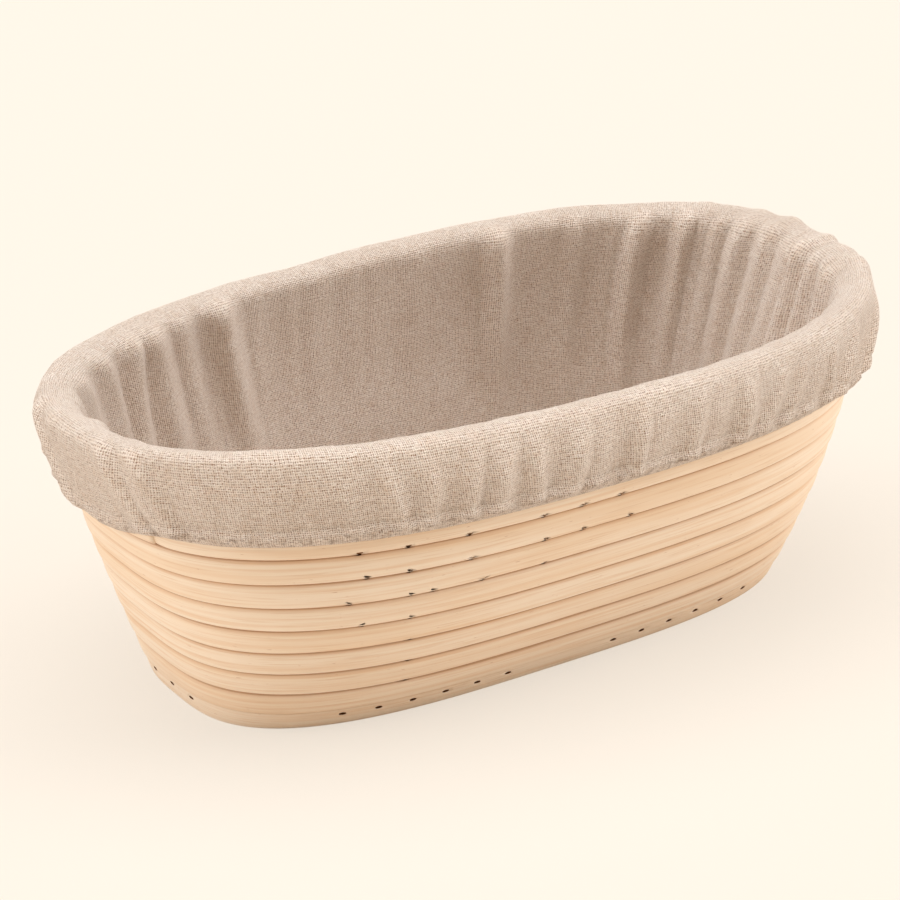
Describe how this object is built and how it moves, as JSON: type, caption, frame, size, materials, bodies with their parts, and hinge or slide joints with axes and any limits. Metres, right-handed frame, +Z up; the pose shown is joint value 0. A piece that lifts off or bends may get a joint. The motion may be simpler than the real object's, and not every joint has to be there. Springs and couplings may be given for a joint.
{
  "type": "proofing basket",
  "caption": "Oval coiled-cane proofing basket for bread dough, flared and stapled, with a lift-out linen liner whose elasticated skirt folds over the rim.",
  "frame": {"origin": "middle of the underside, on the surface that the basket stands on", "axes": "+X along the basket, +Y to its back, where the cane climbs from turn to turn, +Z up out of its mouth"},
  "size_m": [0.2832, 0.1577, 0.0986],
  "materials": {
    "rattan": "peeled and sanded, unvarnished",
    "staple_wire": "browned wire",
    "linen": "unbleached plain weave",
    "elastic": "woven cover"
  },
  "bodies": {
    "basket": {"base_core_strip": "rattan", "base_cane": "rattan", "wall_cane_lower": "rattan", "wall_cane_middle": "rattan", "wall_cane_upper": "rattan", "base_staple_1": "staple_wire", "base_staple_2": "staple_wire", "base_staple_3": "staple_wire", "base_staple_4": "staple_wire", "base_staple_5": "staple_wire", "base_staple_6": "staple_wire", "base_staple_7": "staple_wire", "base_staple_8": "staple_wire", "base_staple_9": "staple_wire", "base_staple_10": "staple_wire", "base_staple_11": "staple_wire", "base_staple_12": "staple_wire", "base_staple_13": "staple_wire", "base_staple_14": "staple_wire", "base_staple_15": "staple_wire", "base_staple_16": "staple_wire", "base_staple_17": "staple_wire", "base_staple_18": "staple_wire", "base_staple_19": "staple_wire", "base_staple_20": "staple_wire", "base_staple_21": "staple_wire", "base_staple_22": "staple_wire", "groove_staple_front_2": "staple_wire", "groove_staple_front_3": "staple_wire", "groove_staple_front_4": "staple_wire", "groove_staple_front_5": "staple_wire", "groove_staple_front_6": "staple_wire", "groove_staple_front_7": "staple_wire", "groove_staple_front_8": "staple_wire", "groove_staple_back_2": "staple_wire", "groove_staple_back_3": "staple_wire", "groove_staple_back_4": "staple_wire", "groove_staple_back_5": "staple_wire", "groove_staple_back_6": "staple_wire", "groove_staple_back_7": "staple_wire", "groove_staple_back_8": "staple_wire"},
    "liner": {"liner_floor": "linen", "liner_wall": "linen", "liner_skirt": "linen", "elastic_band": "elastic"}
  },
  "joints": [
    {"name": "liner_lift", "type": "slide", "parent": "basket", "child": "liner", "axis": [0, 0, 1], "range_m": [0, 0.11], "deforming": ["liner_skirt", "elastic_band"]}
  ]
}
